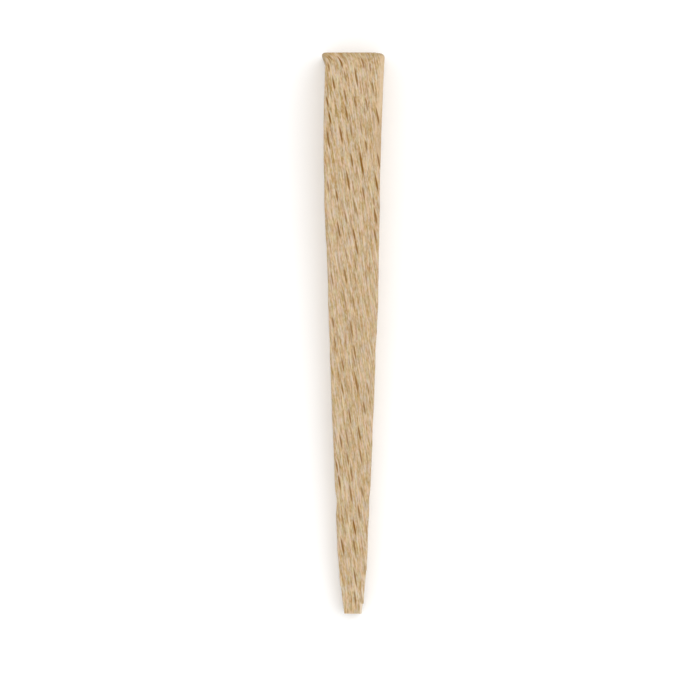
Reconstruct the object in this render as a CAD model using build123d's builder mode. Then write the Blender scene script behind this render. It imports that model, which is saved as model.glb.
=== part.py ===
from build123d import *
import os
from math import sqrt

# Wooden nail: one piece of beech, square in section and tapered on its four sides, with a
# blunt four-sided point. It has been driven, so its head leans and has mushroomed on one side.
#
# The nail lies on its flat back. +Y runs along it towards the head, +X is to the right of its
# front face, and +Z points up out of the front face. The origin is in the resting face, halfway
# between the striking face and the cut tip. All sizes are in millimetres.

# ---- along the nail ----
nail_length = 60.0            # striking face to cut tip
neck_distance = 9.0           # striking face to the neck, where the lean of the head dies out
point_length = 5.0            # shoulder to tip

# ---- width, side to side ----
head_width = 6.30
neck_width = 6.15
upper_width = 5.42            # a third of the way from the neck to the shoulder
lower_width = 4.32            # two thirds of the way
shoulder_width = 3.02         # where the blunt point begins
tip_width = 1.97

# ---- how far the middle line leans to the right ----
head_lean = 0.24
neck_lean = -0.04
tip_lean = 0.06

# ---- thickness, back to front ----
head_thickness = 6.20
shoulder_thickness = 3.00
tip_thickness = 1.90

# ---- worn edges ----
arris_width = 0.15            # eased long edges
rim_width = 0.22              # crushed edge round the striking face

# ---- mushroomed lip on the head's left side ----
lip_proud = 0.36              # how far it overhangs the side
lip_run = 1.10                # striking face to where it meets the side again
lip_nose_radius = 0.28        # rounded nose of the overhang
lip_inset = 0.20              # front and back faces to the ends of the lip
lip_end_radius = 0.12
lip_root = 0.80               # how deep it is rooted in the head

# ---- waney arris, the front right edge below the head ----
wane_head_width = 0.35        # width of the facet at the striking face
wane_mid_width = 0.48
wane_full_width = 0.72
wane_mid_distance = 6.5       # distances from the striking face
wane_full_distance = 9.8
wane_end_distance = 12.4
wane_run_out = 0.4            # slope at which the facet's floor leaves the wood

# ---- splinter lost from the tip's right side, all through its thickness ----
chip_width = 0.06            # inside the corner that the tip would have without it
chip_length = 1.20

# ---- heights and places that follow from the sizes ----
head_y = nail_length / 2
rim_y = head_y - rim_width
neck_y = head_y - neck_distance
tip_y = -nail_length / 2
shoulder_y = tip_y + point_length
third = (neck_y - shoulder_y) / 3
point_lift = (shoulder_thickness - tip_thickness) / 2
front_slope = (head_thickness - shoulder_thickness) / (head_y - shoulder_y)
overcut = arris_width         # how far a blank or a cutter stands proud of the finished wood
margin = head_width           # how far a cutter passes outside the wood


def front_height(y):
    """Height of the shank's flat front face at a place along it."""
    return shoulder_thickness + front_slope * (y - shoulder_y)


def blank_section(y, width, lean, back, front):
    """Cross-section with its arrises eased, drawn proud of the front and back faces."""
    half = width / 2
    ledge = half - arris_width - overcut
    with BuildSketch(Plane.XZ.offset(-y)) as section:
        with BuildLine():
            Polyline(
                (lean + half, back + arris_width),
                (lean + half, front - arris_width),
                (lean + ledge, front + overcut),
                (lean - ledge, front + overcut),
                (lean - half, front - arris_width),
                (lean - half, back + arris_width),
                (lean - ledge, back - overcut),
                (lean + ledge, back - overcut),
                close=True,
            )
        make_face()
    return section.sketch


# Mushroomed lip: fibres driven over the left side of the head, in a bead along that edge
with BuildPart() as lip:
    with BuildSketch(Plane.XY.offset(lip_inset)) as lip_profile:
        with BuildLine():
            side_x = head_lean - head_width / 2
            root_x = side_x + lip_root
            nose_top = (side_x - lip_proud + lip_nose_radius, head_y)
            nose_side = (side_x - lip_proud, head_y - lip_nose_radius)
            TangentArc(nose_top, nose_side, tangent=(-1, 0))
            Polyline(
                nose_side,
                (side_x, head_y - lip_run),
                (root_x, head_y - lip_run),
                (root_x, head_y),
                nose_top,
            )
        make_face()
    extrude(amount=front_height(head_y - lip_run) - 2 * lip_inset)
    lip_ends = lip.faces().filter_by(Axis.Z)
    fillet(lip_ends.edges(), radius=lip_end_radius)

with BuildPart() as nail:
    # Crushed rim, tapered shank and blunt point, from section to section
    rim_sections = [
        blank_section(head_y, head_width - 2 * rim_width, head_lean, 0, head_thickness),
        blank_section(rim_y, head_width, head_lean, 0, front_height(rim_y)),
    ]
    shank_sections = [
        blank_section(rim_y, head_width, head_lean, 0, front_height(rim_y)),
        blank_section(neck_y, neck_width, neck_lean, 0, front_height(neck_y)),
        blank_section(neck_y - third, upper_width, 0, 0, front_height(neck_y - third)),
        blank_section(shoulder_y + third, lower_width, 0, 0, front_height(shoulder_y + third)),
        blank_section(shoulder_y, shoulder_width, 0, 0, shoulder_thickness),
    ]
    point_sections = [
        blank_section(shoulder_y, shoulder_width, 0, 0, shoulder_thickness),
        blank_section(tip_y, tip_width, tip_lean, point_lift, point_lift + tip_thickness),
    ]
    loft(shank_sections)
    loft(rim_sections, ruled=True)
    loft(point_sections, ruled=True)

    # Front and back faces, planed flat: the side outline brings the blank to its thickness
    with BuildSketch(Plane.YZ) as side_outline:
        with BuildLine():
            Polyline(
                (head_y, rim_width),
                (rim_y, 0),
                (shoulder_y, 0),
                (tip_y, point_lift),
                (tip_y, point_lift + tip_thickness),
                (shoulder_y, shoulder_thickness),
                (rim_y, front_height(rim_y)),
                (head_y, head_thickness - rim_width),
                close=True,
            )
        make_face()
    extrude(amount=margin, both=True, mode=Mode.INTERSECT)

    # Waney arris: a facet of changing width along the front right edge below the head, cut
    # in the plane that holds the arris and halves the angle between its two faces
    arris_head = Vector(head_lean + head_width / 2, head_y, head_thickness)
    arris_neck = Vector(neck_lean + neck_width / 2, neck_y, front_height(neck_y))
    arris_down = arris_neck - arris_head
    arris_normal = arris_down.cross(Vector(1, 0, 1))
    with BuildSketch(Plane(arris_head, x_dir=arris_down, z_dir=arris_normal)) as wane_profile:
        with BuildLine():
            wane_floor = Spline(
                (0, -wane_head_width / sqrt(2)),
                (wane_mid_distance, -wane_mid_width / sqrt(2)),
                (wane_full_distance, -wane_full_width / sqrt(2)),
                (wane_end_distance, 0),
                tangents=[(1, 0), (1, wane_run_out)],
            )
            Polyline(wane_floor @ 0, (0, margin), (wane_end_distance, margin), wane_floor @ 1)
        make_face()
    extrude(amount=margin, both=True, mode=Mode.SUBTRACT)

    # Splinter lost from the tip
    with BuildSketch(Plane.XY) as chip_outline:
        with BuildLine():
            chip_x = tip_lean + tip_width / 2 - chip_width
            Polyline(
                (chip_x, tip_y - margin),
                (chip_x, tip_y + chip_length),
                (chip_x + margin, tip_y + chip_length),
                (chip_x + margin, tip_y - margin),
                close=True,
            )
        make_face()
    extrude(amount=margin, mode=Mode.SUBTRACT)

    add(lip.part)

nail.part.label = "nail"
os.makedirs("parts", exist_ok=True)
export_step(nail.part, "parts/nail.step")
print("nail volume", round(nail.part.volume, 1), "mm3, solids", len(nail.solids()))
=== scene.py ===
"""Looks of the wooden nail: one tapered square peg of beech, lying on a pale floor in soft studio light.

The nail lies on its flat back. +Y runs along it towards the head, +X is to the right of its front face,
and +Z points up out of the front face. Sizes are in millimetres, and are turned into metres as they go to
Blender.
"""

from __future__ import annotations

import logging
import math
from collections.abc import Callable, Iterable, Sequence
from dataclasses import dataclass, field
from enum import Enum
from functools import reduce

import bpy
import numpy as np
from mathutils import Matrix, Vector

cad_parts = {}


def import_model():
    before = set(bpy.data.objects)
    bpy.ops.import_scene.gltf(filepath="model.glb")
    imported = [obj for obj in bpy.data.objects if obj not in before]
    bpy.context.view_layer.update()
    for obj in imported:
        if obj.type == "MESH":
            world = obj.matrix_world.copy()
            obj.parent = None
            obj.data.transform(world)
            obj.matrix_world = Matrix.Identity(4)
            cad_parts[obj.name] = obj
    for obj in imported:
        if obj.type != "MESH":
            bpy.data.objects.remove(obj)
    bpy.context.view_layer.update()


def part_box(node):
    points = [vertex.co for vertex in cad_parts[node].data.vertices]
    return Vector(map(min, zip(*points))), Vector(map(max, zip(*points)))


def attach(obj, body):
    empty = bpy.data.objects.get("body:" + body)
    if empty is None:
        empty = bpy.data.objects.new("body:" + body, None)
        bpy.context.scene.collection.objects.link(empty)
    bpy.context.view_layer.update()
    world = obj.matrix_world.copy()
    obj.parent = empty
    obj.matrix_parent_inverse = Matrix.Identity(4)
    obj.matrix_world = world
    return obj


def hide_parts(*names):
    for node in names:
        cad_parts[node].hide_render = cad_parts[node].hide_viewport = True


MM = 0.001  # metres in a millimetre
TINY = 1e-12  # keeps a division by nothing away
LAYER_SHIFT = 7.3  # lattice steps between two layers of a chance wave
LAYERED_STRENGTH = 1.5  # of the layers together, where a wave has several
ROUGHNESS = 0.55  # strength of each layer of a finish's noise, as a share of the one before
Span = tuple[float, float]  # where a smooth change starts, and where it is full
log = logging.getLogger("wooden_nail")


class Side(Enum):
    """The two long sides of the nail that its outline shows, with the sign of their X."""

    LEFT = -1
    RIGHT = 1


class Mark(Enum):
    """The ways in which the outline departs from a clean taper."""

    HOLLOW = "hollow"
    STEP = "step"


class Blend(Enum):
    """How a Mix node puts one colour over another."""

    MIX = "MIX"
    MULTIPLY = "MULTIPLY"


# ---- Shapes and chance ----


@dataclass(frozen=True)
class Wave:
    """A chance wave: its height, and its lattice steps for each millimetre along three axes."""

    height: float
    x: float
    y: float = 0.0
    z: float = 0.0
    seat: float = 0.0  # added on the third axis, to keep it apart from the other waves
    layers: int = 1


class LatticeNoise:
    """Smooth chance values in space, the same in every run.

    Every whole-number point of space holds a fixed chance value from -1 to 1. A value in between is the
    mean of the eight round it, weighted along each axis by 3t² - 2t³, where t is the way from one to the
    next.
    """

    def __init__(self, seed: int, period: int = 48) -> None:
        """Draws the values of the lattice.

        Args:
            seed: Start of the random draws.
            period: Number of lattice points along each axis before the values repeat.
        """
        self.period = period
        self.values = np.random.default_rng(seed).uniform(-1.0, 1.0, (period,) * 3)

    def __call__(self, x: np.ndarray, y: np.ndarray, z: np.ndarray) -> np.ndarray:
        """Gives the chance values at places in lattice units.

        Args:
            x: First coordinates.
            y: Second coordinates.
            z: Third coordinates, of a shape that fits the others.

        Returns:
            Values from -1 to 1.
        """
        place = np.stack(np.broadcast_arrays(x, y, z)).astype(float)
        whole = np.floor(place)
        way = place - whole
        ease = way * way * (3.0 - 2.0 * way)
        near = whole.astype(int) % self.period
        ends = np.stack([near, (near + 1) % self.period])
        shares = np.stack([1.0 - ease, ease])
        total = np.zeros(place.shape[1:])
        for i in range(2):
            for j in range(2):
                for k in range(2):
                    share = shares[i, 0] * shares[j, 1] * shares[k, 2]
                    total += share * self.values[ends[i, 0], ends[j, 1], ends[k, 2]]
        return total

    def height(self, x: np.ndarray, y: np.ndarray, z: np.ndarray, *waves: Wave) -> np.ndarray:
        """Adds up the heights of chance waves.

        Each layer of a wave is twice as fine and half as strong as the one before, and lies apart from it.

        Args:
            x: First coordinates, in millimetres.
            y: Second coordinates.
            z: Third coordinates.
            waves: The waves.

        Returns:
            The height at each place.
        """
        total = 0.0
        for wave in waves:
            x_step, y_step, z_step = x * wave.x, y * wave.y, z * wave.z + wave.seat
            layers = (
                self(x_step * 2**n, y_step * 2**n + LAYER_SHIFT * n, z_step * 2**n) / 2**n
                for n in range(wave.layers)
            )
            strength = LAYERED_STRENGTH if wave.layers > 1 else 1.0
            total = total + wave.height * (sum(layers) / strength)
        return total


def held(value: Coordinate) -> Coordinate:
    """Holds an array's values, or what a wire carries, between 0 and 1."""
    return value.clamped() if isinstance(value, Wire) else np.clip(value, 0.0, 1.0)


def ease_in(value: np.ndarray, start: float, end: float) -> np.ndarray:
    """Goes from 0 at start, which may be the larger, to 1 at end along 3t² - 2t³."""
    way = np.clip((value - start) / (end - start), 0.0, 1.0)
    return way * way * (3.0 - 2.0 * way)


def soft_min(first: np.ndarray, second: np.ndarray, blend: float) -> np.ndarray:
    """Takes the smaller of two values, with the corner between them rounded over about the blend's size."""
    return (first + second - np.sqrt((first - second) ** 2 + blend**2)) / 2.0


def natural_spline(knots: Sequence[float], values: Sequence[float], at: np.ndarray) -> np.ndarray:
    """Smooth curve through a few points, as a bent batten would lie through them.

    Between two knots the curve is a cubic. Its second derivatives agree at each knot and are zero at both
    ends, which gives one linear equation for each knot.

    Args:
        knots: Places of the points, in rising order.
        values: Values there.
        at: Places where the curve is wanted.

    Returns:
        Values of the curve.
    """
    knots, values = np.asarray(knots, float), np.asarray(values, float)
    gap, rise = np.diff(knots), np.diff(values)
    count = len(knots)
    inner = np.arange(1, count - 1)
    system = np.eye(count)
    system[inner, inner - 1] = gap[:-1]
    system[inner, inner] = 2.0 * (gap[:-1] + gap[1:])
    system[inner, inner + 1] = gap[1:]
    right = np.zeros(count)
    right[inner] = 6.0 * (rise[1:] / gap[1:] - rise[:-1] / gap[:-1])
    bend = np.linalg.solve(system, right)
    span = np.clip(np.searchsorted(knots, at) - 1, 0, count - 2)
    after, before = at - knots[span], knots[span + 1] - at
    width = gap[span]
    cubic = (bend[span] * before**3 + bend[span + 1] * after**3) / (6.0 * width)
    start = (values[span] / width - bend[span] * width / 6.0) * before
    end = (values[span + 1] / width - bend[span + 1] * width / 6.0) * after
    return cubic + start + end


@dataclass(frozen=True)
class Grain:
    """The run of the fibres through the nail, which its shape and its finish share, in numbers or wires.

    The coordinate across the fibres is x·cos(slant) + y·sin(slant), and the one along them is
    y·cos(slant) - x·sin(slant). Close to the head the blows have swept the fibres to the left by
    sweep·t²·(left_share - x/sweep_width), where t rises from 0 at the sweep's length below the head to 1 at
    the head. Near the tip they straighten out: going down, the lean dies away by straightening·t², where t
    rises from 0 at the straightening's start to 1 at its end.
    """

    slant: float = math.radians(8.0)  # lean of the fibres to the left, going up
    streak_lean: float = 0.030  # how much further the boldest streaks step to the left for each step up
    sweep: float = 0.85
    sweep_length: float = 1.5
    left_share: float = 0.50
    sweep_width: float = 5.6
    straightening: float = 0.22
    straight_start: float = 56.0  # distances from the striking face
    straight_end: float = 60.0

    def across(self, x: Coordinate, y: Coordinate, head_y: float) -> Coordinate:
        """Coordinate across the fibres, in the plane of the front face.

        Args:
            x: X of the places.
            y: Y of the places.
            head_y: Place of the striking face along the nail.

        Returns:
            The coordinate.
        """
        down = head_y - y
        near_head = held(1.0 - down / self.sweep_length)
        swept = near_head * near_head * self.sweep * (self.left_share - x / self.sweep_width)
        near_tip = held((down - self.straight_start) / (self.straight_end - self.straight_start))
        straight = near_tip * near_tip * self.straightening
        return x * math.cos(self.slant) + y * math.sin(self.slant) + swept + straight

    def along(self, x: Coordinate, y: Coordinate) -> Coordinate:
        """Coordinate along the fibres."""
        return y * math.cos(self.slant) - x * math.sin(self.slant)


@dataclass(frozen=True)
class Blemish:
    """A small mark on one side's outline.

    A hollow adds depth·exp(-(2t)²), where t is the distance from its middle over its length. A step adds
    its depth between two places, and eases in over the first run and out over the second.
    """

    side: Side
    at: float  # distance from the striking face to its middle, or to where a step starts
    length: float
    depth: float  # out of the wood if it is positive
    mark: Mark = Mark.HOLLOW
    run_in: float = 0.1
    run_out: float = 0.1

    def push(self, distance: np.ndarray) -> np.ndarray:
        """How far the mark moves the outline outwards.

        Args:
            distance: Distances from the striking face.

        Returns:
            The move there, negative into the wood.
        """
        if self.mark is Mark.HOLLOW:
            return self.depth * np.exp(-((2.0 * (distance - self.at) / self.length) ** 2))
        end = self.at + self.length
        start_in, end_in = self.at - self.run_in / 2, self.at + self.run_in / 2
        start_out, end_out = end - self.run_out / 2, end + self.run_out / 2
        return self.depth * (ease_in(distance, start_in, end_in) - ease_in(distance, start_out, end_out))


def worn_outline() -> list[Blemish]:
    """The marks along the nail's two sides.

    Returns:
        The marks, from the head down.
    """
    left, right = Side.LEFT, Side.RIGHT
    # side, distance from the striking face, length, depth
    return [
        Blemish(right, 13.6, 3.0, -0.03),
        Blemish(left, 16.2, 2.0, 0.03),
        Blemish(left, 20.6, 1.6, -0.06),
        Blemish(left, 23.6, 4.4, -0.07),
        Blemish(right, 26.8, 2.2, 0.04),
        Blemish(right, 31.6, 2.6, -0.07),
        Blemish(left, 38.9, 1.5, 0.04),
        Blemish(right, 47.9, 2.0, -0.07),
        Blemish(left, 47.9, 1.8, -0.14),
        Blemish(left, 49.2, 4.6, 0.04, Mark.STEP, run_in=0.9, run_out=1.4),
        Blemish(left, 55.8, 1.3, 0.08, Mark.STEP, run_in=0.9, run_out=0.35),
        Blemish(right, 51.0, 3.6, -0.05),
        Blemish(right, 54.5, 0.9, 0.03, Mark.STEP, run_in=0.8, run_out=0.12),
        Blemish(right, 55.4, 3.0, -0.02, Mark.STEP, run_in=0.12, run_out=0.9),
        Blemish(right, 58.7, 0.9, 0.03),
    ]


Points = tuple[np.ndarray, np.ndarray]  # X and Z of one point, or of a row of them, in each section


@dataclass(frozen=True)
class Arris:
    """One long edge of the nail as it crosses the sections.

    It is a quadratic curve from the point where it leaves the front or back face to the point where it
    leaves the side. The curve's middle control lies between the chord (fullness 0) and the corner (1).
    """

    on_face: Points
    on_side: Points
    corner: Points
    fullness: float

    def curve(self, columns: int, from_face: bool) -> Points:
        """Points of the curve, without the last one.

        Args:
            columns: Number of points.
            from_face: Whether it starts at the front or back face, and not at the side.

        Returns:
            The points.
        """
        way = np.arange(columns) / columns
        start, end = (self.on_face, self.on_side) if from_face else (self.on_side, self.on_face)
        points = []
        for first, last, peak in zip(start, end, self.corner):
            control = (first + last) / 2.0 * (1.0 - self.fullness) + peak * self.fullness
            points.append(first * (1.0 - way) ** 2 + 2.0 * control * way * (1.0 - way) + last * way**2)
        return points[0], points[1]


@dataclass
class WoodenNail:
    """One piece of beech, square in section, tapered on its four sides, with a blunt four-sided point.

    Its surface is a closed section carried along the nail, from the middle of the striking face over the
    crushed rim, down the shank and round the cut edge to the middle of the tip.
    """

    low: Vector  # corners of the nail's box in the frame
    high: Vector
    grain: Grain

    neck_distance: float = 9.0  # striking face to where the lean of the head dies out
    point_length: float = 5.0
    head_width: float = 6.30
    neck_width: float = 6.15
    upper_width: float = 5.42
    lower_width: float = 4.32
    shoulder_width: float = 3.02
    tip_width: float = 1.97
    head_lean: float = 0.24  # of the middle line, to the right
    neck_lean: float = -0.04
    tip_lean: float = 0.06
    shoulder_thickness: float = 3.00
    tip_thickness: float = 1.90

    rim: float = 0.18  # crushed edge round the striking face
    rim_gain_from: float = 0.75  # share of the half width at which it starts to deepen
    rim_room: float = 3.0  # distance over which the rows make room for it
    left_rim_gain: float = 0.12  # how much deeper it is over the lip
    right_rim_gain: float = 0.44  # how much deeper it is on the right
    right_fall: float = 0.05  # how far the striking face falls away towards the right
    right_fall_span: Span = (0.70, 1.05)  # shares of the half width
    cut_edge: float = 0.05  # edge round the cut tip
    arris: float = 0.15  # eased long edges
    arris_fullness: float = 0.60  # 0 is a flat facet, and 1 a full round
    wane_fullness: float = 0.34

    lip_proud: float = 0.36
    lip_flat: float = 0.22  # striking face to where the overhang starts to fall back
    lip_run: float = 1.00
    lip_draw: float = 0.30  # share by which it draws in at its two ends
    lip_draw_length: float = 0.35

    wane_head_width: float = 0.35
    wane_mid_width: float = 0.48
    wane_full_width: float = 0.72
    wane_mid_distance: float = 6.5
    wane_full_distance: float = 9.8
    wane_end_distance: float = 12.4
    wane_power: float = 0.8  # of the share that is left of it, as it runs out

    chip_width: float = 0.10
    chip_length: float = 1.20
    chip_run: float = 0.16

    strike_relief: float = 0.055  # dents of the striking face
    fibre_end_share: float = 0.35  # of that, what the crushed fibres' ends add
    cut_relief: float = 0.035  # roughness of the cut tip

    undulation: Wave = Wave(0.030, 0.30, 0.11, 0.30, layers=3)  # long waves of the split faces
    fibre_relief: Wave = Wave(0.011, 3.6, 0.30, 3.6, seat=21.0, layers=2)
    raggedness: Wave = Wave(0.030, 0.55, 0.35, 1.0, layers=4)  # of the arrises
    side_seats: dict[Side, float] = field(default_factory=lambda: {Side.LEFT: 11.0, Side.RIGHT: 29.0})
    mark_wander: Wave = Wave(0.12, 0.8, 0.3, seat=6.0)
    arris_change: Wave = Wave(0.45, 0.7, 1.0, layers=3)  # a share of its width
    arris_seats: tuple[float, ...] = (17.0, 24.0, 31.0, 38.0)  # from the front right arris, clockwise
    wane_change: Wave = Wave(0.03, 0.8, 1.0, layers=3)
    wane_seat: float = 40.0
    rim_change: Wave = Wave(0.30, 0.9, 0.9, seat=69.0, layers=3)  # a share of its depth
    lip_ends: tuple[Wave, ...] = (Wave(0.16, 0.9, seat=3.1), Wave(0.08, 3.1, seat=9.4))  # shares of its run
    lip_folds: Wave = Wave(0.10, 2.3, 0.8, seat=5.7)  # a share of its reach
    chip_tears: tuple[Wave, ...] = (Wave(0.16, 1.7, seat=2.2), Wave(0.07, 6.0, seat=4.4))
    dents: Wave = Wave(0.5, 0.42, 0.42, seat=51.0, layers=2)
    fibre_ends: Wave = Wave(0.5, 3.4, 1.3, seat=57.0, layers=2)
    saw_marks: Wave = Wave(0.5, 0.8, 5.5, seat=63.0, layers=3)

    # how far the kinds of wood show, and from where to where
    # crushed fibres round the striking face, darkened further as painted shade along its edge
    head_bruise_and_shade: float = 0.33
    head_bruise_and_shade_span: Span = (1.3, 0.05)  # distances from the striking face
    # lip of crushed fibres, darkened further as painted shade under its overhang
    lip_bruise_and_shade: float = 0.90
    lip_bruise_and_shade_span: Span = (1.3, 0.8)
    lip_bruise_and_shade_reach: Span = (-0.30, 0.15)  # out of the clean side
    wane_fade: float = 0.6
    torn_bed: Span = (0.40, 0.24)  # distances inside the clean side
    # painted highlight: a pale line along the tip's cut edge, where that edge catches the light
    cut_edge_highlight: float = 0.5
    cut_edge_highlight_span: Span = (0.14, 0.06)  # distances from the cut tip

    front_columns: int = 116
    back_columns: int = 28
    side_columns: int = 40
    arris_columns: int = 13
    # columns over which the wane's share rises, from where its arris starts, and falls, from where it ends
    wane_ramp: tuple[int, ...] = (-6, 2, -2, 3)
    shank_rows: int = 316
    row_samples: int = 4000  # places where the spacing of the rows is summed up
    rim_rows: int = 8
    edge_rows: int = 4
    strike_rows: int = 20
    cut_rows: int = 9

    blemishes: list[Blemish] = field(default_factory=worn_outline)
    rough: LatticeNoise = field(default_factory=lambda: LatticeNoise(seed=71))

    # ---- sizes that follow ----

    @property
    def head_y(self) -> float:
        """Place of the striking face along the nail."""
        return self.high.y / MM

    @property
    def length(self) -> float:
        """Striking face to cut tip."""
        return (self.high.y - self.low.y) / MM

    @property
    def shoulder_distance(self) -> float:
        """Striking face to where the blunt point begins."""
        return self.length - self.point_length

    @property
    def point_lift(self) -> float:
        """How far the back of the tip stands off what the nail lies on."""
        return (self.shoulder_thickness - self.tip_thickness) / 2.0

    def along_point(self, distance: np.ndarray) -> np.ndarray:
        """Share of the way from the shoulder to the tip, negative above the shoulder."""
        return (distance - self.shoulder_distance) / self.point_length

    # ---- the form ----

    def half_width(self, side: Side, distance: np.ndarray) -> np.ndarray:
        """Clean taper of one side: a spline down the shank, and a straight line down the point.

        Args:
            side: The side.
            distance: Distances from the striking face.

        Returns:
            Distances from the middle line to the side.
        """
        third = (self.shoulder_distance - self.neck_distance) / 3.0
        knots = [self.rim, *(self.neck_distance + third * n for n in range(4))]
        widths = [self.head_width, self.neck_width, self.upper_width, self.lower_width, self.shoulder_width]
        leans = [self.head_lean, self.neck_lean, 0.0, 0.0, 0.0]
        shank = natural_spline(knots, widths, distance) / 2.0
        shank = shank + side.value * natural_spline(knots, leans, distance)
        fall = (self.tip_width - self.shoulder_width) / 2.0 + side.value * self.tip_lean
        point = self.shoulder_width / 2.0 + fall * self.along_point(distance)
        return soft_min(shank, point, blend=0.06)

    def front(self, distance: np.ndarray) -> np.ndarray:
        """Height of the front face: one straight line down the shank, and a steeper one down the point.

        Args:
            distance: Distances from the striking face.

        Returns:
            Heights above what the nail lies on.
        """
        rise, run = self.high.z / MM - self.shoulder_thickness, self.shoulder_distance - self.rim
        shank = self.shoulder_thickness + rise * (self.shoulder_distance - distance) / run
        point = self.shoulder_thickness - self.point_lift * self.along_point(distance)
        return soft_min(shank, point, blend=0.05)

    def back(self, distance: np.ndarray) -> np.ndarray:
        """Height of the back face: flat along the shank, and lifted along the point."""
        return self.low.z / MM + self.point_lift * np.clip(self.along_point(distance), 0.0, 1.0)

    def lip(self, distance: np.ndarray, height: np.ndarray) -> np.ndarray:
        """Overhang of the mushroomed fibres on the left of the head.

        It stands full out down to its flat's end and then falls back in a straight line to the side. Both
        its reach and where it ends vary along the edge, and it draws in towards its two ends.

        Args:
            distance: Distances from the striking face.
            height: Heights on the side.

        Returns:
            How far it stands out of the side.
        """
        end = self.lip_run * (1.0 + self.rough.height(height, 0.0, 0.0, *self.lip_ends))
        fall = np.clip((end - distance) / (end - self.lip_flat), 0.0, 1.0)
        from_end = np.minimum(height - self.back(distance), self.front(distance) - height)
        near_end = np.exp(-((np.maximum(from_end, 0.0) / self.lip_draw_length) ** 2))
        folds = 1.0 + self.rough.height(height, distance, 0.0, self.lip_folds)
        return self.lip_proud * fall * (1.0 - self.lip_draw * near_end) * folds

    def chip(self, distance: np.ndarray, height: np.ndarray) -> np.ndarray:
        """Depth of the splinter lost from the right of the tip, which broke off along a ragged line.

        Args:
            distance: Distances from the striking face.
            height: Heights on the side.

        Returns:
            How far the side is set back.
        """
        torn_and_highlight = self.rough.height(height, 0.0, 0.0, *self.chip_tears)
        start = self.length - self.chip_length + torn_and_highlight
        return self.chip_width * ease_in(distance - start, 0.0, self.chip_run)

    def reach(self, side: Side, distance: np.ndarray, height: np.ndarray) -> np.ndarray:
        """Distance from the middle line to one side, with its marks, its lip or chip and its raggedness.

        Args:
            side: The side.
            distance: Distances from the striking face.
            height: Heights on the side.

        Returns:
            The distance from the middle line.
        """
        total = self.half_width(side, distance) + np.zeros_like(height)
        wandered = distance + self.rough.height(height, distance, 0.0, self.mark_wander)
        for mark in self.blemishes:
            if mark.side is side:
                total = total + mark.push(wandered)
        total = total + (self.lip(distance, height) if side is Side.LEFT else -self.chip(distance, height))
        return total + self.rough.height(distance, height, self.side_seats[side], self.raggedness)

    def arris_leg(self, distance: np.ndarray, seat: float) -> np.ndarray:
        """Width of an eased arris on each of its faces, by distance from the striking face."""
        return self.arris * (1.0 + self.rough.height(distance, seat, 0.0, self.arris_change))

    def wane_leg(self, distance: np.ndarray) -> np.ndarray:
        """Width of the waney arris on each of its faces: it widens below the head and then runs out.

        Args:
            distance: Distances from the striking face.

        Returns:
            The width, which is an eased arris's where the wane is less.
        """
        knots = [0.0, self.wane_mid_distance, self.wane_full_distance]
        widths = [self.wane_head_width, self.wane_mid_width, self.wane_full_width]
        widening = natural_spline(knots, widths, np.minimum(distance, self.wane_full_distance))
        run_out = self.wane_end_distance - self.wane_full_distance
        left = np.clip((self.wane_end_distance - distance) / run_out, 0.0, 1.0)
        wander = self.rough.height(distance, self.wane_seat, 0.0, self.wane_change)
        widest = (widening + wander) * left**self.wane_power
        return np.maximum(widest, self.arris_leg(distance, self.arris_seats[0]))

    def arrises(self, distance: np.ndarray) -> list[Arris]:
        """The four long edges, clockwise from the front right one to someone who looks at the cut tip.

        Args:
            distance: Distances from the striking face, as a column.

        Returns:
            Front right, back right, back left and front left.
        """
        front, back = self.front(distance), self.back(distance)
        corners = [
            (Side.RIGHT, front, -1, self.wane_fullness),
            (Side.RIGHT, back, 1, self.arris_fullness),
            (Side.LEFT, back, 1, self.arris_fullness),
            (Side.LEFT, front, -1, self.arris_fullness),
        ]
        legs = [self.wane_leg(distance), *(self.arris_leg(distance, seat) for seat in self.arris_seats[1:])]
        found = []
        for (side, height, inward, fullness), leg in zip(corners, legs):
            side_height = height + inward * leg
            out = side.value * self.reach(side, distance, height)
            side_out = side.value * self.reach(side, distance, side_height)
            on_face, on_side = (out - side.value * leg, height), (side_out, side_height)
            found.append(Arris(on_face, on_side, (out, height), fullness))
        return found

    def broad_face(self, start: Arris, end: Arris, columns: int) -> Points:
        """Points straight over the front, or under the back, without the last one.

        Args:
            start: The arris that the face starts from.
            end: The arris that it goes to.
            columns: Number of points.

        Returns:
            The points.
        """
        way = np.arange(columns) / columns
        x, z = (a + (b - a) * way for a, b in zip(start.on_face, end.on_face))
        return x, z

    def side_face(self, side: Side, distance: np.ndarray, start: Arris, end: Arris) -> Points:
        """Points up or down a side, whose reach changes from back to front, without the last one.

        Args:
            side: The side.
            distance: Distances from the striking face, as a column.
            start: The arris that the side starts from.
            end: The arris that it goes to.

        Returns:
            The points.
        """
        way = np.arange(self.side_columns) / self.side_columns
        z = start.on_side[1] + (end.on_side[1] - start.on_side[1]) * way
        return side.value * self.reach(side, distance + np.zeros_like(z), z), z

    def section(self, distance: np.ndarray) -> Points:
        """Closed sections of the nail.

        A section runs over the front from left to right, down the right side, under the back and up the
        left side, with an arris at each of its four corners.

        Args:
            distance: Distances from the striking face, as a column.

        Returns:
            The X and the Z of each point, one row for each distance.
        """
        front_right, back_right, back_left, front_left = self.arrises(distance)
        parts = [
            self.broad_face(front_left, front_right, self.front_columns),
            front_right.curve(self.arris_columns, from_face=True),
            self.side_face(Side.RIGHT, distance, front_right, back_right),
            back_right.curve(self.arris_columns, from_face=False),
            self.broad_face(back_right, back_left, self.back_columns),
            back_left.curve(self.arris_columns, from_face=True),
            self.side_face(Side.LEFT, distance, back_left, front_left),
            front_left.curve(self.arris_columns, from_face=False),
        ]
        return np.concatenate([p[0] for p in parts], axis=1), np.concatenate([p[1] for p in parts], axis=1)

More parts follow.
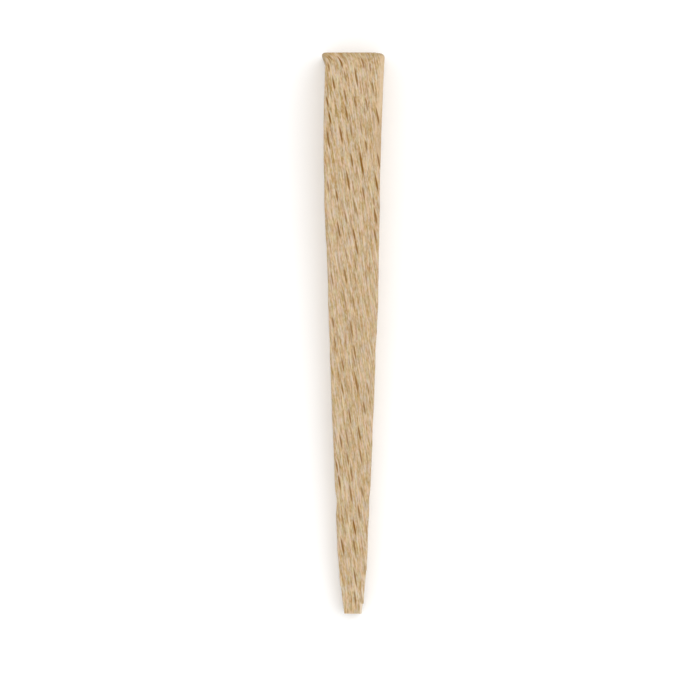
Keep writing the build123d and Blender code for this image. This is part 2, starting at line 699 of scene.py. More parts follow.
    def rows(self) -> np.ndarray:
        """Distances of the shank's sections, closer together where the form turns sharply.

        The spacing is given at a few places, and each row lies where the running sum of one over the
        spacing reaches its share of the whole.

        Returns:
            The distances from the striking face, as a column.
        """
        spacing_at = {
            self.rim: 0.05,
            1.5: 0.08,
            2.5: 0.29,
            0.89 * self.length: 0.29,
            0.91 * self.length: 0.09,
            0.99 * self.length: 0.08,
            self.length - self.cut_edge: 0.05,
        }
        places = list(spacing_at)
        fine = np.linspace(places[0], places[-1], self.row_samples)
        share = np.cumsum(1.0 / np.interp(fine, places, list(spacing_at.values())))
        share = (share - share[0]) / (share[-1] - share[0])
        return np.interp(np.linspace(0.0, 1.0, self.shank_rows), share, fine)[:, None]

    def end_rows(self, section: Points, depth: np.ndarray, rounds: int, rings: int) -> np.ndarray:
        """Rows that close one end: round its edge, and then over its face towards the middle.

        On the edge the section is drawn in by depth·(1 - cos a) and lies depth·(1 - sin a) short of the
        end's plane, with a from 0 to a quarter turn. On the face it shrinks evenly about its middle.

        Args:
            section: X and Z of the last section's points.
            depth: How far the edge is rounded at each point.
            rounds: Rows on the edge.
            rings: Rows on the face.

        Returns:
            For each row and point: X, the distance short of the end's plane, Z, and the share of the end's
            own relief there, which is (sin a)² on the edge and 1 on the face.
        """
        rounding, ring = np.arange(1, rounds + 1) / rounds, np.arange(1, rings) / rings
        turn = np.concatenate([rounding, np.ones_like(ring)])[:, None] * math.pi / 2.0
        shrink = np.concatenate([np.ones_like(rounding), 1.0 - ring])[:, None]
        inward, short = depth * (1.0 - np.cos(turn)), depth * (1.0 - np.sin(turn))
        drawn_in = []
        for value in section:
            middle, half = (value.max() + value.min()) / 2.0, (value.max() - value.min()) / 2.0
            drawn_in.append(middle + (value - middle) * (1.0 - inward / half) * shrink)
        share = np.sin(turn) ** 2 + np.zeros_like(short)
        return np.stack([drawn_in[0], short, drawn_in[1], share], axis=-1)

    def strike_depth(self, x: np.ndarray, z: np.ndarray) -> np.ndarray:
        """Depth of the dents that the blows left in the striking face, and of the crushed fibres' ends.

        Args:
            x: X of the points.
            z: Z of the points.

        Returns:
            The depth.
        """
        broad = 0.5 + self.rough.height(x, z, 0.0, self.dents)
        ends = 0.5 + self.rough.height(x, z, 0.0, self.fibre_ends)
        fall = ease_in(x / (self.head_width / 2.0), *self.right_fall_span)
        return self.strike_relief * (broad + self.fibre_end_share * ends) + self.right_fall * fall

    def cut_depth(self, x: np.ndarray, z: np.ndarray) -> np.ndarray:
        """Depth of the marks that the saw left across the tip."""
        return self.cut_relief * (0.5 + self.rough.height(x, z, 0.0, self.saw_marks))

    def relief(self, points: np.ndarray) -> np.ndarray:
        """Height of the wood's own relief: long waves where it split, and ridges between its fibres.

        Args:
            points: Rows of X, Y and Z.

        Returns:
            The height at each point.
        """
        x, y, z = (points[..., axis] for axis in range(3))
        across, along = self.grain.across(x, y, self.head_y), self.grain.along(x, y)
        return self.rough.height(across, along, z, self.undulation, self.fibre_relief)

    def bands(self) -> dict[str, np.ndarray]:
        """How far each column belongs to the waney arris, the front and the sides.

        Returns:
            "wane", "front" and "side", which fade from 1 to 0 over the arrises.
        """
        edge, side = self.arris_columns, self.side_columns
        starts = np.cumsum([0, self.front_columns, edge, side, edge, self.back_columns, edge, side, edge])
        columns = np.arange(starts[-1])
        wane_ramp = np.repeat(starts[1:3], 2) + self.wane_ramp
        return {
            "wane": np.interp(columns, wane_ramp, [0.0, 1.0, 1.0, 0.0]),
            "front": np.minimum(2.0 * np.interp(columns, starts, [1.0, 1.0, 0, 0, 0, 0, 0, 0, 1.0]), 1.0),
            "side": np.interp(columns, starts, [0, 0, 1.0, 1.0, 0, 0, 1.0, 1.0, 0]),
        }

    def skin(self) -> tuple[np.ndarray, np.ndarray]:
        """The whole surface but its two middle points, in rows from head to tip.

        The relief lifts each point along the cross product of the surface's two directions there. What it
        would push below the flat that the nail lies on is left in that plane.

        Returns:
            Rows of X, Y and Z, and the share of end grain at each point.
        """
        distance = self.rows()
        x, z = self.section(distance)
        sideways = ease_in(np.abs(x[0]) / (self.head_width / 2.0), self.rim_gain_from, 1.0)
        gain = np.where(x[0] < 0, self.left_rim_gain, self.right_rim_gain) * sideways
        rim = self.rim * (1.0 + self.rough.height(x[0], z[0], 0.0, self.rim_change)) + gain
        # where the rim is deeper than its usual depth, the rows below it are moved down to make room
        below = distance + (rim - self.rim) * (1.0 - ease_in(distance, self.rim, self.rim_room))
        head = self.end_rows((x[0], z[0]), rim, self.rim_rows, self.strike_rows)[::-1]
        tip = self.end_rows((x[-1], z[-1]), np.full_like(rim, self.cut_edge), self.edge_rows, self.cut_rows)
        dents = self.strike_depth(head[..., 0], head[..., 2])
        head[..., 1] = self.head_y - head[..., 1] - head[..., 3] * dents
        tip[..., 1] += self.low.y / MM + tip[..., 3] * self.cut_depth(tip[..., 0], tip[..., 2])
        shank = np.stack([x, self.head_y - below, z, np.zeros_like(x)], axis=-1)
        grid = np.concatenate([head, shank, tip])
        points, end = grid[..., :3], grid[..., 3]

        around = np.roll(points, -1, axis=1) - np.roll(points, 1, axis=1)
        outward = np.cross(np.gradient(points, axis=0), around)
        outward /= np.linalg.norm(outward, axis=-1, keepdims=True) + TINY
        points = points + outward * (self.relief(points) * (1.0 - end))[..., None]
        points[..., 2] = np.maximum(points[..., 2], self.low.z / MM)
        return points, end

    def shares(self, points: np.ndarray, end: np.ndarray) -> dict[str, np.ndarray]:
        """How far each kind of wood shows at each point, from 0 to 1.

        Args:
            points: Rows of X, Y and Z.
            end: Share of end grain there.

        Returns:
            "end" of end grain, "bruise" of crushed fibres, darkened further by painted shade on the striking
            face's edge and under the lip, "wane" of the waney arris, "front" and "side" of the front face
            and the two sides, and "torn" of fresh wood where the splinter left it and of a painted highlight
            along the cut edge.
        """
        bands = self.bands()
        down = self.head_y - points[..., 1]
        overhang = -points[..., 0] - self.half_width(Side.LEFT, np.maximum(down, self.rim))
        # painted shade with the crushing: the striking face's edge and the overhanging lip darken as if
        # shaded
        crushed = self.head_bruise_and_shade * ease_in(down, *self.head_bruise_and_shade_span)
        folded_and_shaded = ease_in(overhang, *self.lip_bruise_and_shade_reach) * ease_in(down, *self.lip_bruise_and_shade_span)
        open_wane = ease_in(self.wane_end_distance - down, 0.0, self.wane_fade)
        inside = self.half_width(Side.RIGHT, down) - points[..., 0]
        by_splinter = self.chip(down, points[..., 2]) / self.chip_width * ease_in(inside, *self.torn_bed)
        # painted highlight along the cut edge
        cut_highlight = self.cut_edge_highlight * ease_in(self.length - down, *self.cut_edge_highlight_span)
        return {
            "end": end,
            "bruise_and_shade": np.maximum(crushed, self.lip_bruise_and_shade * folded_and_shaded),
            "wane": bands["wane"] * open_wane * (1.0 - end),
            "front": bands["front"] * (1.0 - end),
            "side": bands["side"] * (1.0 - end),
            "torn_and_highlight": np.maximum(by_splinter, cut_highlight),
        }

    def build(self) -> bpy.types.Object:
        """Makes the nail's mesh: the rows joined into a closed tube, with a fan over each end's middle.

        Returns:
            The nail's object, at the origin, with its place in its mesh.
        """
        grid, end = self.skin()
        row_count, column_count = grid.shape[:2]
        middles = np.stack([grid[0].mean(axis=0), grid[-1].mean(axis=0)])
        points = np.concatenate([grid.reshape(-1, 3), middles]) * MM
        column = np.arange(column_count)
        following = (column + 1) % column_count
        row = (np.arange(row_count - 1) * column_count)[:, None]
        near, far = row + column, row + following
        quads = np.stack([near, near + column_count, far + column_count, far])
        last, middle = (row_count - 1) * column_count, np.full_like(column, row_count * column_count)
        head_fan = np.stack([middle, column, following], axis=1)
        tip_fan = np.stack([middle + 1, last + following, last + column], axis=1)
        faces = [*quads.reshape(4, -1).T.tolist(), *head_fan.tolist(), *tip_fan.tolist()]
        mesh = bpy.data.meshes.new("beech_nail")
        mesh.from_pydata(points, [], faces)
        mesh.shade_smooth()
        for name, share in self.shares(grid, end).items():
            ends = [share[0].mean(), share[-1].mean()]
            attribute = mesh.attributes.new(name, "FLOAT", "POINT")
            attribute.data.foreach_set("value", np.append(share.ravel(), ends))
        nail = bpy.data.objects.new("beech_nail", mesh)
        bpy.context.scene.collection.objects.link(nail)
        return nail

    def dress(self, nail: bpy.types.Object, finish: BeechFinish) -> None:
        """Gives the nail its finish."""
        nail.data.materials.append(finish.material(self.grain, self.head_y))


# ---- Finishes ----

Colour = tuple[float, float, float, float]


def operator_pair(operation: str) -> tuple[Callable, Callable]:
    """Makes the methods behind an operator on wires, which add its Math node.

    Args:
        operation: What the node works out.

    Returns:
        The method for self on the left, and the reflected one for self on the right.
    """

    def plain(self: Wire, other: Operand) -> Wire:
        """Takes self first."""
        return self.maths(operation, self, other)

    def reflected(self: Wire, other: Operand) -> Wire:
        """Takes the other first."""
        return self.maths(operation, other, self)

    return plain, reflected


class Wire:
    """A node's output that can stand in a sum, so that shader maths reads as an expression."""

    def __init__(self, sheet: NodeSheet, socket: bpy.types.NodeSocket) -> None:
        """Keeps the sheet and the socket."""
        self.sheet = sheet
        self.socket = socket

    def maths(self, operation: str, *operands: Operand) -> Wire:
        """Adds a Math node on these operands."""
        return self.sheet.node("ShaderNodeMath", {"operation": operation}, dict(enumerate(operands)))

    __add__, __radd__ = operator_pair("ADD")
    __sub__, __rsub__ = operator_pair("SUBTRACT")
    __mul__, __rmul__ = operator_pair("MULTIPLY")
    __truediv__, __rtruediv__ = operator_pair("DIVIDE")

    def __abs__(self) -> Wire:
        """Size of self without its sign."""
        return self.maths("ABSOLUTE", self)

    def floor(self) -> Wire:
        """Whole number at or below self."""
        return self.maths("FLOOR", self)

    def larger(self, other: Operand) -> Wire:
        """The larger of self and other."""
        return self.maths("MAXIMUM", self, other)

    def clamped(self) -> Wire:
        """Self, held between 0 and 1."""
        return self.maths("MINIMUM", self.larger(0.0), 1.0)

    def eased(self, start: float, end: float, height: float = 1.0) -> Wire:
        """Goes smoothly from 0 where self is start to a height where it is end."""
        values = {"Value": self, "From Min": start, "From Max": end, "To Max": height}
        return self.sheet.node("ShaderNodeMapRange", {"interpolation_type": "SMOOTHSTEP"}, values)

    def parts(self) -> tuple[Wire, Wire, Wire]:
        """The three parts of a vector."""
        x = self.sheet.node("ShaderNodeSeparateXYZ", {}, {"Vector": self})
        return x, x.beside("Y"), x.beside("Z")

    def beside(self, output: str) -> Wire:
        """Another output of the same node."""
        return Wire(self.sheet, self.socket.node.outputs[output])


Operand = Wire | float
Feed = Wire | float | Sequence[float]
Coordinate = np.ndarray | Wire  # numbers for the shape, or a wire for its finish


class NodeSheet:
    """The nodes of one material."""

    def __init__(self, name: str) -> None:
        """Makes an empty material.

        Args:
            name: Its name.
        """
        self.material = bpy.data.materials.new(name)
        self.material.use_nodes = True
        self.tree = self.material.node_tree
        self.tree.nodes.clear()

    def node(
        self,
        kind: str,
        settings: dict[str, object],
        sockets: dict[int | str, Feed],
        output: int | str | None = 0,
    ) -> Wire | None:
        """Adds a node.

        Args:
            kind: Type of the node.
            settings: Its own settings, which are set first.
            sockets: What each input gets: a wire, or a constant.
            output: The output that is wanted, or None where there is none.

        Returns:
            That output.
        """
        node = self.tree.nodes.new(kind)
        for name, value in settings.items():
            setattr(node, name, value)
        for name, feed in sockets.items():
            if isinstance(feed, Wire):
                self.tree.links.new(feed.socket, node.inputs[name])
            else:
                node.inputs[name].default_value = feed
        return None if output is None else Wire(self, node.outputs[output])

    def vector(self, x: Operand, y: Operand, z: Operand = 0.0) -> Wire:
        """Joins three values into a vector."""
        return self.node("ShaderNodeCombineXYZ", {}, {"X": x, "Y": y, "Z": z})

    def vector_maths(self, operation: str, *operands: Feed) -> Wire:
        """Adds a Vector Math node on these operands."""
        return self.node("ShaderNodeVectorMath", {"operation": operation}, dict(enumerate(operands)))

    def blend(self, under: Feed, over: Feed, amount: Operand, how: Blend = Blend.MIX) -> Wire:
        """Puts one colour over another by an amount from 0 to 1."""
        settings = {"data_type": "RGBA", "blend_type": how.value}
        return self.node("ShaderNodeMix", settings, {0: amount, 6: under, 7: over}, output=2)

    def noise(self, x: Operand, y: Operand, z: Operand, detail: float) -> Wire:
        """Smooth chance value from 0 to 1, at a place given in lattice units."""
        sockets = {"Vector": self.vector(x, y, z), "Scale": 1.0, "Detail": detail, "Roughness": ROUGHNESS}
        return self.node("ShaderNodeTexNoise", {"noise_dimensions": "3D"}, sockets)

    def draws(self, x: Operand, y: Operand, z: Operand) -> tuple[Wire, Wire, Wire]:
        """Three unrelated chance values from 0 to 1 for each different place."""
        settings, sockets = {"noise_dimensions": "3D"}, {"Vector": self.vector(x, y, z)}
        return self.node("ShaderNodeTexWhiteNoise", settings, sockets, output="Color").parts()

    def largest(self, values: Iterable[Wire]) -> Wire:
        """Largest of several values, which are compared as each is made so that few are held at a time."""
        return reduce(Wire.larger, values)

    def share(self, name: str) -> Wire:
        """One of the shares that the mesh carries."""
        settings = {"attribute_type": "GEOMETRY", "attribute_name": name}
        return self.node("ShaderNodeAttribute", settings, {}, output="Fac")

    def close(self, sockets: dict[str, Feed]) -> bpy.types.Material:
        """Ends the sheet with a plain surface.

        Args:
            sockets: What each of the surface's inputs gets.

        Returns:
            The finished material.
        """
        surface = self.node("ShaderNodeBsdfPrincipled", {}, sockets)
        self.node("ShaderNodeOutputMaterial", {}, {"Surface": surface}, output=None)
        return self.material


def between(span: Span, share: Wire) -> Wire:
    """Value that lies a share of the way through a span."""
    return span[0] + (span[1] - span[0]) * share


@dataclass(frozen=True)
class RayFamily:
    """One size of the ray ends that fleck the wood.

    The wood is divided into strips across the fibres, and each strip into cells along them, with the cells
    of each strip set off by chance. Every cell holds one ray: a sheet that runs through the thickness and
    whose end is a spindle, half_width·(1 - t²) wide each way, where t is the distance along the fibres over
    its half length. Chance moves it within its cell and sets its length, its slant and how dark it is.
    """

    pitch_across: float
    pitch_along: float
    half_width: float
    half_length: float
    faintest: float
    darkest: float
    seed: float
    softness: float = 0.03
    strays: Span = (0.62, 0.3)  # how far a ray strays across and along its cell, as shares of it
    lean: float = 0.10
    lengths: Span = (0.55, 1.30)  # shortest and longest, as shares of the half length
    widths: Span = (0.7, 1.2)

    def depth(self, sheet: NodeSheet, across: Wire, along: Wire) -> Wire:
        """How dark the rays are at each place, from 0 to 1.

        Args:
            sheet: The sheet to add the nodes to.
            across: Coordinate across the fibres.
            along: Coordinate along them.

        Returns:
            The darkness.
        """
        strip_place = across / self.pitch_across
        strip = strip_place.floor()
        offset = sheet.draws(strip, self.seed, 0.5)[0]
        cell_place = along / self.pitch_along + offset
        cell = cell_place.floor()
        first, second, third = sheet.draws(strip, cell, self.seed)
        fourth, fifth, _ = sheet.draws(strip, cell, self.seed + 0.5)
        stray_across, stray_along = self.strays
        lengthways = (cell_place - cell - 0.5 + (second - 0.5) * stray_along) * self.pitch_along
        crossways = (strip_place - strip - 0.5 + (first - 0.5) * stray_across) * self.pitch_across
        crossways = crossways + lengthways * (fifth - 0.5) * self.lean
        way = lengthways / (self.half_length * between(self.lengths, third))
        taper = (1.0 - way * way).larger(0.0)
        width = taper * (1.0 + (first - 0.5) * way) * (self.half_width * between(self.widths, fourth))
        inside = ((width - abs(crossways)) / self.softness + 0.5).clamped() * taper
        return inside * between((self.faintest, self.darkest), fourth)


@dataclass(frozen=True)
class Streak:
    """One bold streak on the front face: a long spindle that runs as the fibres do.

    With u and v the distances from its middle across it and along it, over its half width and half length,
    it eases from nothing where √(u² + v²) is 1 to its full strength at the core.
    """

    top: float  # distance from the striking face
    foot: float
    x: float  # of its middle
    strength: float
    slimmest: float = 0.074  # half width of one without strength
    widening: float = 0.072  # what full strength adds to that
    stretch: float = 0.60  # half length, as a share of the way from its top to its foot
    core: float = 0.45

    def depth(self, sheet: NodeSheet, place: Wire, grain: Grain, head_y: float) -> Wire:
        """How strong the streak is at each place.

        Args:
            sheet: The sheet to add the nodes to.
            place: Coordinates across and along the streaks.
            grain: The run of the fibres.
            head_y: Place of the striking face along the nail.

        Returns:
            The strength.
        """
        half_width = self.slimmest + self.widening * self.strength
        half_length = (self.foot - self.top) * self.stretch
        y = head_y - (self.top + self.foot) / 2.0
        across = float(grain.across(self.x, y, head_y)) + grain.streak_lean * y
        shrink = (1.0 / half_width, 1.0 / half_length, 0.0)
        shift = (-across / half_width, -y / half_length, 0.0)
        local = sheet.vector_maths("MULTIPLY_ADD", place, shrink, shift)
        return sheet.vector_maths("LENGTH", local).beside("Value").eased(1.0, self.core, self.strength)


def painted_highlight_streaks() -> list[Streak]:
    """Painted highlights: pale lines where the edges and split fibres of the point catch the light, on its
    front.

    Returns:
        The streaks, from the shoulder down.
    """
    rows = [  # top, foot, X, strength
        (52.0, 53.6, 1.52, 0.7), (53.5, 55.2, 1.42, 0.8), (55.6, 57.1, 1.26, 0.7),
        (55.7, 57.2, -1.32, 0.8), (56.9, 58.8, 1.06, 0.9), (57.0, 57.9, -1.00, 0.6),
        (57.5, 58.5, 0.60, 0.6), (58.0, 59.6, -0.98, 0.6), (58.7, 59.9, 0.84, 0.7),
    ]
    return [Streak(*row) for row in rows]


def bold_rays() -> list[Streak]:
    """The boldest ray ends of the front face.

    Returns:
        The streaks, from the head down.
    """
    rows = [  # top, foot, X, strength
        (0.3, 0.9, -2.41, 0.7), (0.4, 1.8, -1.24, 0.95), (0.4, 1.9, 1.07, 0.7), (1.0, 2.1, -2.57, 0.7),
        (1.1, 2.2, 1.85, 0.6), (1.6, 3.9, 0.38, 0.85), (1.9, 3.3, -0.80, 0.65), (2.6, 4.1, -2.03, 0.9),
        (3.0, 4.5, 2.15, 0.7), (3.8, 5.3, -0.82, 0.78), (4.6, 6.0, -2.70, 0.9), (4.6, 6.1, 0.25, 0.7),
        (4.8, 6.4, 1.47, 0.7), (5.5, 7.4, -0.68, 0.85), (5.8, 7.9, 2.64, 0.85), (6.2, 7.8, -2.44, 1.0),
        (7.3, 8.8, 0.90, 0.6), (7.5, 9.1, -0.20, 0.65), (7.7, 9.8, -1.26, 0.9), (8.2, 10.4, -2.62, 0.9),
        (9.3, 10.6, 1.42, 0.8), (10.4, 13.3, 0.92, 1.0), (10.6, 12.4, -0.11, 0.85),
        (10.6, 12.5, 2.74, 0.8), (12.4, 14.9, -0.52, 0.85), (12.9, 14.9, 2.52, 0.95),
        (13.5, 15.0, -2.62, 0.7), (14.5, 16.0, -1.70, 0.85), (14.2, 15.8, 1.14, 0.8),
        (15.3, 16.4, 2.22, 0.7), (15.5, 17.3, 0.18, 0.65), (16.4, 18.5, 2.42, 0.9),
        (16.8, 18.4, -0.74, 0.7), (17.8, 19.9, -1.50, 0.85), (18.6, 20.1, 0.14, 0.9),
        (18.8, 20.2, 2.38, 0.8), (19.9, 21.6, 0.39, 0.85), (20.8, 22.2, -0.70, 0.6),
        (21.8, 23.3, 0.25, 0.6), (22.8, 24.8, -0.80, 0.7), (23.2, 25.0, -2.20, 0.65),
        (23.2, 24.6, 1.42, 0.55), (25.2, 27.3, -0.88, 0.6), (25.6, 27.7, 0.06, 0.6),
        (28.0, 29.5, -2.10, 0.8), (28.4, 30.6, -0.16, 0.7), (30.1, 31.6, -1.92, 0.75),
        (31.1, 32.9, 0.22, 0.75), (32.4, 34.1, -1.07, 0.7), (34.0, 36.5, 0.38, 0.78),
        (35.1, 36.6, -1.10, 0.82), (35.0, 36.5, 1.60, 0.6), (37.1, 38.7, 1.24, 0.8),
        (37.9, 39.8, -0.31, 0.82), (39.7, 41.5, 0.69, 0.82), (40.0, 42.3, -0.60, 0.7),
        (40.6, 42.3, -1.27, 0.8), (42.2, 44.0, 0.85, 0.75), (42.6, 44.1, -0.55, 0.72),
        (43.4, 44.9, -1.70, 0.8), (44.1, 45.9, -0.13, 0.72), (45.0, 46.7, -1.42, 0.9),
        (45.8, 48.3, -0.22, 0.75), (46.2, 47.6, 1.03, 0.7), (48.2, 50.0, 0.66, 0.75),
        (49.3, 50.5, -1.08, 0.65), (49.7, 51.7, 0.18, 1.0), (51.7, 53.8, -1.10, 0.88),
        (51.8, 53.5, 0.16, 0.8), (54.9, 57.2, 0.26, 0.8), (57.4, 59.2, 0.26, 0.7),
    ]
    return [Streak(*row) for row in rows]


@dataclass(frozen=True)
class FibrePattern:
    """Chance values that change quickly across the fibres and slowly along them."""

    fineness: float  # lattice steps for each millimetre across the fibres and through the thickness
    run: float  # and along them
    seat: float  # added through the thickness, to keep it apart from the other patterns
    detail: float = 2.0

    def value(self, sheet: NodeSheet, across: Wire, along: Wire, z: Wire) -> Wire:
        """Chance value from -0.5 to 0.5 at each place."""
        place = across * self.fineness, along * self.run, z * self.fineness + self.seat
        return sheet.noise(*place, detail=self.detail) - 0.5


@dataclass(frozen=True)
class WoodPlace:
    """The coordinates that the wood's pattern follows, in millimetres."""

    y: Wire
    z: Wire
    down: Wire  # from the striking face
    straight_across: Wire  # across the fibres
    across: Wire  # the same, with the slow drift of the fibres
    along: Wire


@dataclass(frozen=True)
class BeechFinish:
    """Bare beech, split and scraped, with dark ray flecks between fine pale and dull fibres."""

    pale: Colour = (0.590, 0.422, 0.312, 1.0)
    dull: Colour = (0.368, 0.215, 0.078, 1.0)
    cream: Colour = (0.665, 0.510, 0.385, 1.0)
    ashen_tint: Colour = (0.86, 1.0, 1.06, 1.0)  # what multiplies the wood's colour where it is greyest
    straw_tint: Colour = (1.0, 1.0, 0.78, 1.0)  # and where it is yellowest
    ray: Colour = (0.200, 0.084, 0.004, 1.0)
    waney: Colour = (0.625, 0.470, 0.300, 1.0)
    deep_waney: Colour = (0.480, 0.325, 0.185, 1.0)
    # colour of crushed fibres, dark also as painted shade on the head's edge and under the lip
    bruised_and_shaded: Colour = (0.290, 0.205, 0.088, 1.0)
    # pale colour of fresh wood where the splinter left it, used also for painted highlights on the cut edge
    # and the point's edges
    torn_and_highlight: Colour = (0.700, 0.595, 0.455, 1.0)
    end_grain: Colour = (0.374, 0.257, 0.135, 1.0)

    # patterns of the fibres, and how far each moves them from dull to pale
    fibre: FibrePattern = FibrePattern(3.0, 0.12, seat=0.0, detail=1.0)
    thread: FibrePattern = FibrePattern(6.4, 0.40, seat=40.0)
    grit: FibrePattern = FibrePattern(7.0, 2.6, seat=160.0, detail=1.0)
    mean_paleness: float = 0.66
    fibre_gain: float = 0.6
    thread_gain: float = 2.3
    grit_gain: float = 1.5
    head_contrast: float = 1.30  # of the threads and the grit; it dies down to 1 below the head
    calming: Span = (4.0, 14.0)  # distances from the striking face
    side_calm: float = 0.35  # share of the contrast that the sides lack
    ashen: FibrePattern = FibrePattern(6.6, 0.80, seat=80.0)
    straw: FibrePattern = FibrePattern(6.6, 0.95, seat=120.0)
    patch: Span = (-0.14, 0.14)  # chance values where a tinted patch starts and is full
    drift: float = 0.5  # how far the fibres drift to and fro
    drift_steps: tuple[float, float, float] = (0.22, 0.06, 0.30)  # lattice steps in a millimetre

    # ray ends, and how far each kind of wood hides them
    rays: tuple[RayFamily, ...] = (
        RayFamily(1.05, 3.1, 0.088, 1.45, faintest=0.40, darkest=1.0, seed=3.0),
        RayFamily(0.62, 2.6, 0.068, 1.25, faintest=0.10, darkest=0.50, seed=8.0),
        RayFamily(0.31, 1.6, 0.042, 0.72, faintest=0.00, darkest=0.35, seed=15.0),
    )
    bright_fibres: RayFamily = RayFamily(0.47, 2.2, 0.050, 1.05, faintest=0.0, darkest=0.9, seed=21.0)
    wobble: float = 0.10  # how far the threads push a bold ray end's edges about
    wane_hides: Span = (0.75, 0.25)  # near the head, and where the wane is deep
    side_hides: float = 0.8
    end_hides: float = 0.45

    # how far each kind of wood covers the fibres
    deep_wane: Span = (5.5, 9.0)  # distances from the striking face over which the wane deepens
    wane_cover: Span = (0.62, 0.40)
    bruise_and_shade_cover: float = 0.6
    end_cover: float = 0.75
    torn_and_highlight_cover: Span = (0.9, 0.45)  # on the front, and on the sides
    # strength of the painted highlights on the point's edges
    painted_highlight_strength: float = 0.7

    roughness: float = 0.62
    ray_gloss: float = 0.10
    end_dullness: float = 0.15
    specular: float = 0.2
    fibre_height: float = 0.5
    ray_depth: float = 0.6
    bump_strength: float = 0.6
    bump_depth: float = 0.018 * MM

    def place(self, sheet: NodeSheet, grain: Grain, head_y: float) -> WoodPlace:
        """Works out the coordinates that the wood's pattern follows.

        Args:
            sheet: The sheet to add the nodes to.
            grain: The run of the fibres.
            head_y: Place of the striking face along the nail.

        Returns:
            The coordinates.
        """
        x, y, z = (part * (1.0 / MM) for part in sheet.node("ShaderNodeTexCoord", {}, {}, "Object").parts())
        steps = (part * step for part, step in zip((x, y, z), self.drift_steps))
        drift = (sheet.noise(*steps, detail=1.0) - 0.5) * self.drift
        across = grain.across(x, y, head_y)
        return WoodPlace(y, z, head_y - y, across, across + drift, grain.along(x, y))

    def ground(self, sheet: NodeSheet, place: WoodPlace, thread: Wire, side: Wire) -> tuple[Wire, Wire]:
        """Colours the fibres between the ray flecks.

        Args:
            sheet: The sheet to add the nodes to.
            place: The wood's coordinates.
            thread: Values of the threads' pattern.
            side: Share of the sides.

        Returns:
            The colour, and how pale the fibres are, from 0 to 1.
        """
        lay = sheet, place.across, place.along, place.z
        fibre, grit, ashen, straw = (p.value(*lay) for p in (self.fibre, self.grit, self.ashen, self.straw))
        calm = place.down.eased(*self.calming) * (self.head_contrast - 1.0)
        contrast = (self.head_contrast - calm) * (1.0 - side * self.side_calm)
        fine = (thread * self.thread_gain + grit * self.grit_gain) * contrast
        paleness = (self.mean_paleness + fibre * self.fibre_gain + fine).clamped()
        colour = sheet.blend(self.dull, self.pale, paleness)
        bright = self.bright_fibres.depth(sheet, place.across, place.along) * (1.0 - side)
        colour = sheet.blend(colour, self.cream, bright)
        colour = sheet.blend(colour, self.ashen_tint, ashen.eased(*self.patch), Blend.MULTIPLY)
        colour = sheet.blend(colour, self.straw_tint, straw.eased(*self.patch), Blend.MULTIPLY)
        return colour, paleness

    def material(self, grain: Grain, head_y: float) -> bpy.types.Material:
        """Makes the material.

        Args:
            grain: The run of the fibres.
            head_y: Place of the striking face along the nail.

        Returns:
            The material.
        """
        sheet = NodeSheet("beech")
        place = self.place(sheet, grain, head_y)
        names = ("wane", "end", "bruise_and_shade", "front", "side", "torn_and_highlight")
        wane, end, bruise_and_shade, front, side, torn_and_highlight = (sheet.share(name) for name in names)
        thread = self.thread.value(sheet, place.across, place.along, place.z)
        colour, paleness = self.ground(sheet, place, thread, side)

        deep = place.down.eased(*self.deep_wane)
        # on the front face the bold ray ends stand for the largest family
        chance_rays = self.rays[0].depth(sheet, place.across, place.along) * (1.0 - front)
        for family in self.rays[1:]:
            chance_rays = chance_rays.larger(family.depth(sheet, place.across, place.along))
        shown = (1.0 - wane * between(self.wane_hides, deep)) * (1.0 - side * self.side_hides)
        chance_rays = chance_rays * shown * (1.0 - end * self.end_hides)
        lean = place.straight_across + grain.streak_lean * place.y
        on_face = sheet.vector(lean + thread * self.wobble, place.y)
        bold = sheet.largest(ray.depth(sheet, on_face, grain, head_y) for ray in bold_rays())
        flecks = chance_rays.larger(bold * front)

        wane_colour = sheet.blend(self.waney, self.deep_waney, deep)
        colour = sheet.blend(colour, wane_colour, wane * between(self.wane_cover, deep))
        # painted shade with the crushing, on the head's edge and under the lip
        colour = sheet.blend(colour, self.bruised_and_shaded, bruise_and_shade * self.bruise_and_shade_cover)
        colour = sheet.blend(colour, self.end_grain, end * self.end_cover)
        colour = sheet.blend(colour, self.ray, flecks)
        # painted highlights: pale streaks where the point's edges catch the light
        split = sheet.largest(line.depth(sheet, on_face, grain, head_y) for line in painted_highlight_streaks()) * front
        # fresh wood of the splinter's bed, with painted highlights on the cut edge and the point's edges
        bare_and_highlit = torn_and_highlight.larger(split * self.painted_highlight_strength) * between(self.torn_and_highlight_cover, side)
        colour = sheet.blend(colour, self.torn_and_highlight, bare_and_highlit)

        height = paleness * self.fibre_height - chance_rays * self.ray_depth
        relief = {"Strength": self.bump_strength, "Distance": self.bump_depth, "Height": height}
        return sheet.close(
            {
                "Base Color": colour,
                "Roughness": self.roughness - flecks * self.ray_gloss + end * self.end_dullness,
                "Specular IOR Level": self.specular,
                "Normal": sheet.node("ShaderNodeBump", {}, relief),
            }
        )


@dataclass(frozen=True)
class PaleFloor:
    """The plain floor that the nail lies on."""

    colour: Colour = (0.96, 0.96, 0.96, 1.0)
    roughness: float = 0.9
    specular: float = 0.1

    def material(self) -> bpy.types.Material:
        """Makes the material."""
        looks = {"Base Color": self.colour, "Roughness": self.roughness, "Specular IOR Level": self.specular}
        return NodeSheet("pale_floor").close(looks)


# ---- Studio ----


@dataclass(frozen=True)
class Lamp:
    """A soft square light, turned towards the nail."""

    name: str
    place: tuple[float, float, float]
    power: float  # in watts
    size: float = 1.2


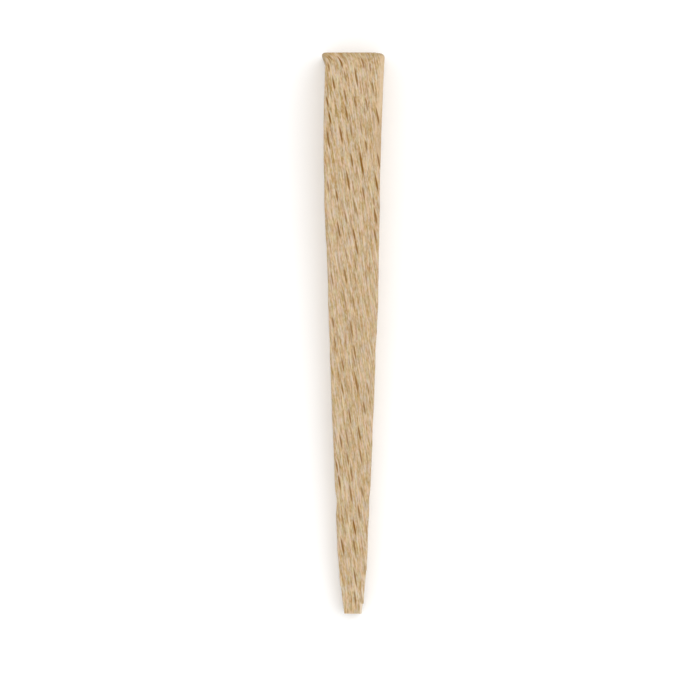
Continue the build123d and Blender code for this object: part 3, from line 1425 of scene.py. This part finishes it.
@dataclass
class Studio:
    """Floor, light and camera round the nail. Sizes are in metres."""

    low: Vector
    high: Vector
    floor_size: float = 2.4
    floor_cells: int = 8  # along each side
    floor_gap: float = 0.005 * MM  # how far the floor stays clear of the nail's flat back
    white: Colour = (1.0, 1.0, 1.0, 1.0)
    sky: float = 0.90
    key: Lamp = Lamp("key", (0.50, 0.30, 0.90), 4.8)
    fill: Lamp = Lamp("fill", (-0.50, -0.10, 0.90), 1.85)
    lens: float = 250.0
    sensor: float = 36.0
    clipping: Span = (0.01, 10.0)
    focus: float = 0.70  # height of the plane that the camera is set for, as a share of the head's
    field: float = 74.75 * MM  # width of what it sees in that plane
    aim_right: float = -0.30 * MM  # centre of the view, from the nail's own middle
    aim_up: float = -1.71 * MM

    def build_floor(self) -> bpy.types.Object:
        """Makes the floor, a square grid just under the nail's flat back.

        Returns:
            The floor's object.
        """
        reach = np.linspace(-0.5, 0.5, self.floor_cells + 1) * self.floor_size
        x, y = np.meshgrid(reach, reach)
        points = np.stack([x, y, np.full_like(x, self.low.z - self.floor_gap)], axis=-1).reshape(-1, 3)
        count = len(reach)
        corner = (np.arange(count - 1)[:, None] * count + np.arange(count - 1)).ravel()
        faces = np.stack([corner, corner + 1, corner + count + 1, corner + count], axis=1)
        mesh = bpy.data.meshes.new("floor")
        mesh.from_pydata(points.tolist(), [], faces.tolist())
        mesh.materials.append(PaleFloor().material())
        floor = bpy.data.objects.new("floor", mesh)
        bpy.context.scene.collection.objects.link(floor)
        return floor

    def add_lamp(self, lamp: Lamp) -> None:
        """Hangs one lamp.

        Args:
            lamp: The lamp.
        """
        data = bpy.data.lights.new(lamp.name, "AREA")
        data.shape = "SQUARE"
        data.size = lamp.size
        data.energy = lamp.power
        light = bpy.data.objects.new(lamp.name, data)
        light.location = lamp.place
        light.rotation_mode = "QUATERNION"
        light.rotation_quaternion = (-Vector(lamp.place)).to_track_quat("-Z", "Y")
        bpy.context.scene.collection.objects.link(light)

    def light(self) -> None:
        """Lights the nail evenly from all round, with a little more from the upper right."""
        world = bpy.data.worlds.new("studio")
        world.use_nodes = True
        background = world.node_tree.nodes["Background"]
        background.inputs["Color"].default_value = self.white
        background.inputs["Strength"].default_value = self.sky
        bpy.context.scene.world = world
        self.add_lamp(self.key)
        self.add_lamp(self.fill)
        bpy.context.scene.view_settings.view_transform = "Standard"

    def place_camera(self) -> None:
        """Looks straight down on the nail, with its head at the top of the picture."""
        data = bpy.data.cameras.new("camera")
        data.lens = self.lens
        data.sensor_width = self.sensor
        data.clip_start, data.clip_end = self.clipping
        camera = bpy.data.objects.new("camera", data)
        middle = (self.low + self.high) / 2.0
        distance = self.field * self.lens / self.sensor
        camera.location = (self.aim_right, middle.y + self.aim_up, self.focus * self.high.z + distance)
        bpy.context.scene.collection.objects.link(camera)
        bpy.context.scene.camera = camera


def main() -> None:
    """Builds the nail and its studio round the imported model."""
    logging.basicConfig(level=logging.INFO, format="%(name)s: %(message)s")
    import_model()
    low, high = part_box("nail")

    shape = WoodenNail(low=low, high=high, grain=Grain())
    nail = shape.build()
    shape.dress(nail, BeechFinish())
    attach(nail, "root")
    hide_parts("nail")
    triangles = sum(len(face.vertices) - 2 for face in nail.data.polygons)
    log.info("nail: %d triangles, %.2f mm long", triangles, shape.length)

    studio = Studio(low=low, high=high)
    studio.build_floor()
    studio.light()
    studio.place_camera()
    log.info("studio: floor, light and camera in place")


if __name__ == "__main__":
    main()
